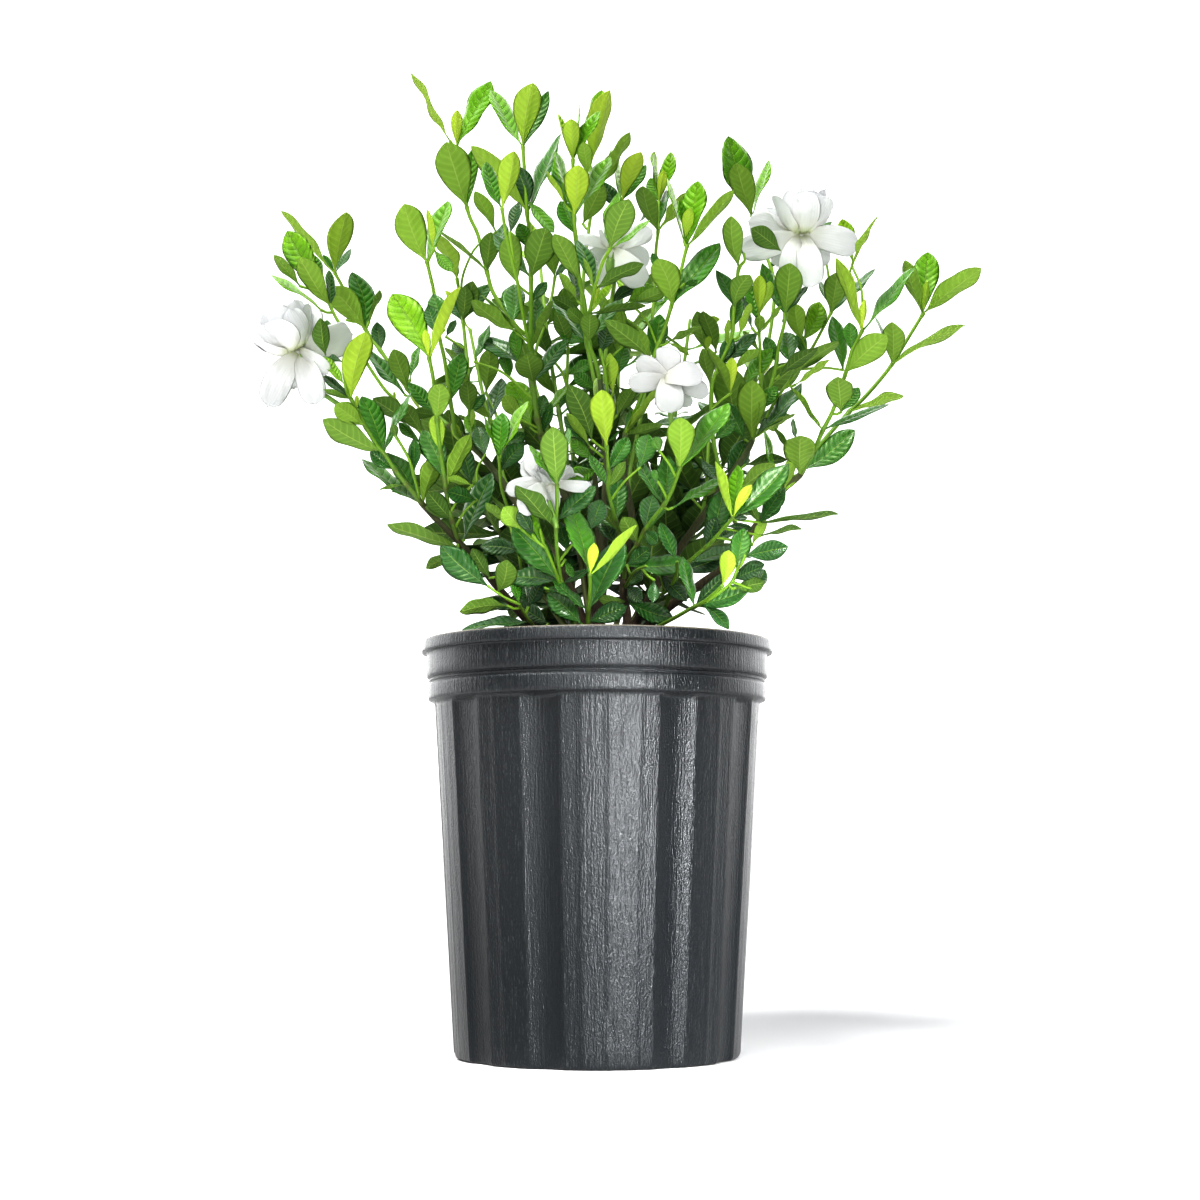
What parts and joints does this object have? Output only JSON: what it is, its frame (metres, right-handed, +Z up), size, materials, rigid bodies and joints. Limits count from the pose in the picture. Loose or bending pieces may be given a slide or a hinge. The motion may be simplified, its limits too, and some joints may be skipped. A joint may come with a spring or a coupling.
{
  "type": "potted gardenia shrub",
  "caption": "Bushy gardenia shrub with glossy green leaves and double white flowers, growing in a dark nursery pot with upright channels.",
  "frame": {"origin": "middle of the pot's flat underside", "axes": "+Z up along the pot axis; the front of the plant, with most flowers, faces -Y; +X is to the right seen from the front"},
  "size_m": [0.5059, 0.3682, 0.6959],
  "materials": {
    "pot_plastic": "satin, slightly worn",
    "soil": "loose bark and peat mix",
    "bark": "matte bark",
    "foliage": "glossy upper faces, matte undersides",
    "petals": "soft matte",
    "calyx_green": "satin"
  },
  "bodies": {
    "root": {"nursery_pot": "pot_plastic", "potting_soil": "soil", "main_stems": "bark", "leafy_shoot_01": "foliage", "leafy_shoot_02": "foliage", "leafy_shoot_03": "foliage", "leafy_shoot_04": "foliage", "leafy_shoot_05": "foliage", "leafy_shoot_06": "foliage", "leafy_shoot_07": "foliage", "leafy_shoot_08": "foliage", "leafy_shoot_09": "foliage", "leafy_shoot_10": "foliage", "leafy_shoot_11": "foliage", "leafy_shoot_12": "foliage", "leafy_shoot_13": "foliage", "leafy_shoot_14": "foliage", "leafy_shoot_15": "foliage", "leafy_shoot_16": "foliage", "leafy_shoot_17": "foliage", "leafy_shoot_18": "foliage", "leafy_shoot_19": "foliage", "leafy_shoot_20": "foliage", "leafy_shoot_21": "foliage", "leafy_shoot_22": "foliage", "leafy_shoot_23": "foliage", "leafy_shoot_24": "foliage", "leafy_shoot_25": "foliage", "leafy_shoot_26": "foliage", "leafy_shoot_27": "foliage", "leafy_shoot_28": "foliage", "leafy_shoot_29": "foliage", "leafy_shoot_30": "foliage", "leafy_shoot_31": "foliage", "leafy_shoot_32": "foliage", "leafy_shoot_33": "foliage", "leafy_shoot_34": "foliage", "leafy_shoot_35": "foliage", "leafy_shoot_36": "foliage", "leafy_shoot_37": "foliage", "leafy_shoot_38": "foliage", "leafy_shoot_39": "foliage", "leafy_shoot_40": "foliage", "leafy_shoot_41": "foliage", "leafy_shoot_42": "foliage", "leafy_shoot_43": "foliage", "leafy_shoot_44": "foliage", "leafy_shoot_45": "foliage", "leafy_shoot_46": "foliage", "flower_left_corolla": "petals", "flower_left_calyx": "calyx_green", "flower_right_corolla": "petals", "flower_right_calyx": "calyx_green", "flower_top_corolla": "petals", "flower_top_calyx": "calyx_green", "flower_middle_corolla": "petals", "flower_middle_calyx": "calyx_green", "flower_low_corolla": "petals", "flower_low_calyx": "calyx_green"}
  },
  "joints": []
}
